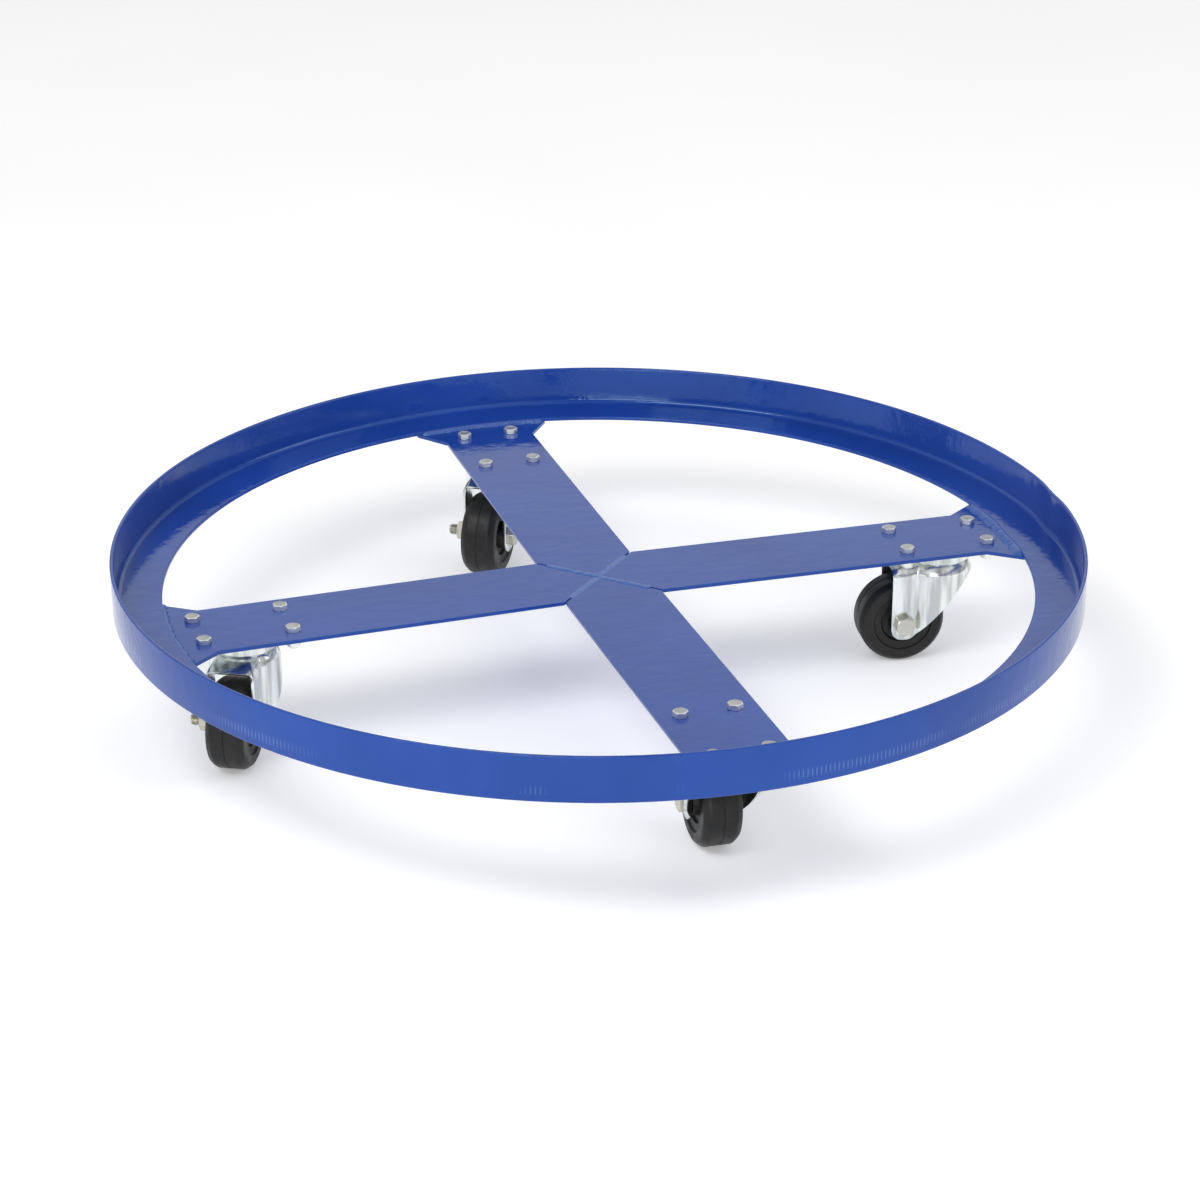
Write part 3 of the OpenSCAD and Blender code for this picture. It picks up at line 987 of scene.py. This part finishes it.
def axle_bolt(bm):
    """Head outside one leg, plain shank between, thread beyond the nut."""
    skin(bm, hex_rings(axle_af, leg_y, leg_y + head_h, axle_af * 0.48, dish=0.0004))
    tail = leg_y + nut_h + spare
    threaded_rod(bm, axle_r, -tail, -leg_y, axle_pitch, 36)
    skin(bm, [
        [Vector((x, y, z)) for x, y in circle(0, 0, axle_r, 36)]
        for z in (-leg_y - 0.0002, leg_y + 0.001)])


def axle_nut(bm):
    """Plain hexagon nut, its corners turned off on both faces, chamfered to the thread."""
    nut_rings = hex_rings(axle_af, leg_y, leg_y + nut_h, axle_af * 0.475, down_turned=True)
    outline = hexagon(axle_af)
    nut_rings[-2:] = [
        disc(outline, 0.0056, leg_y + nut_h), disc(outline, 0.0048, leg_y + nut_h - 0.0008)]
    skin(bm, flipped(nut_rings))


for i in range(1, 5):
    for name, build, node in (
            ("axle_screw", axle_bolt, "axle_bolt"), ("axle_lock", axle_nut, "axle_nut")):
        work = bmesh.new()
        moved(work, build, axle_place(i) @ Matrix.Rotation(dice.uniform(0, pi / 3), 4, "Z"))
        piece = make(f"{name}_{i}", work, zinc_axle, 25)
        place(piece, f"swivel_{i}", "zinc_fastener", f"{node}_{i}")


# ---------------------------------------------------------------------------------------
# Studio: a plain pale floor, soft lights high on the left, on the right and low in front,
# and the camera, which looks down on the dolly from the front.
# ---------------------------------------------------------------------------------------

floor_half = 6
camera_at = (-0.7259, -2.2803, 1.0644 + foot_z)
camera_way = (0.27666, 0.86755, -0.4133)

floor_material, tree = new_material("pale_floor")
blotch = spread(tree, speckle(tree, 2, 3), 0, 1)
shade = mix(tree, blotch, (0.90, 0.90, 0.90, 1), (0.92, 0.92, 0.92, 1))
worn = spread(tree, speckle(tree, 5, 2), 0.85, 0.95)
lit = finish_with(tree, shade, worn, (speckle(tree, 300, 2), 0.00001))
lit.inputs["Emission Color"].default_value = (1, 1, 1, 1)
lit.inputs["Emission Strength"].default_value = 0.24
work = bmesh.new()
bmesh.ops.create_grid(work, x_segments=8, y_segments=8, size=2 * floor_half)
floor_plane = make("floor", work, floor_material)

world = bpy.data.worlds.new("studio")
bpy.context.scene.world = world
world.use_nodes = True
tree = world.node_tree
way = add(tree, "ShaderNodeSeparateXYZ", {
    "Vector": add(tree, "ShaderNodeTexCoord").outputs["Generated"]})


def graded(value, stops):
    """Grey level along one direction of the room, given as (place, level) stops."""
    ramp = add(tree, "ShaderNodeValToRGB", {"Fac": value})
    points = ramp.color_ramp.elements
    while len(points) < len(stops):
        points.new(0.5)
    for point, (at, level) in zip(points, stops):
        point.position = at
        point.color = (level, level, level, 1)
    return ramp.outputs["Color"]


upward = graded(way.outputs["Z"], (
    (0.0, 0.62), (0.16, 0.80), (0.30, 1.0), (0.62, 1.0), (0.85, 0.70)))
sideways = graded(spread(tree, way.outputs["X"], 0, 1, -1, 1), (
    (0.0, 0.55), (0.20, 1.0), (0.36, 0.38), (0.45, 0.42), (0.52, 1.0), (0.73, 1.0), (0.86, 0.50)))
room = add(tree, "ShaderNodeVectorMath", {0: upward, 1: sideways}, operation="MULTIPLY")
tree.links.new(room.outputs[0], tree.nodes["Background"].inputs["Color"])
tree.nodes["Background"].inputs["Strength"].default_value = 1.0


def softbox(name, at, aim, size, power):
    """A large soft light at one place, aimed at another."""
    lamp = bpy.data.lights.new(name, "AREA")
    lamp.shape = "RECTANGLE"
    lamp.size, lamp.size_y = size
    lamp.energy = power
    rig = stand(name, lamp)
    rig.location = at
    rig.rotation_euler = (Vector(aim) - Vector(at)).to_track_quat("-Z", "Y").to_euler()


softbox("key_light", (-1.6, -1.2, 2.6), (0, 0, 0.1), (1.6, 1.2), 38)
softbox("fill_light", (2.4, -0.8, 1.6), (0, 0, 0.1), (1.2, 1.8), 14)
softbox("low_front_light", (-1.5, -3.2, 0.55), (0, 0, 0.1), (1.4, 0.7), 26)

camera_data = bpy.data.cameras.new("camera")
camera_data.lens = 93.76
camera_data.sensor_width = 36
camera = stand("camera", camera_data)
camera.location = camera_at
camera.rotation_euler = Vector(camera_way).to_track_quat("-Z", "Y").to_euler()
bpy.context.scene.camera = camera
bpy.context.scene.view_settings.view_transform = "Standard"
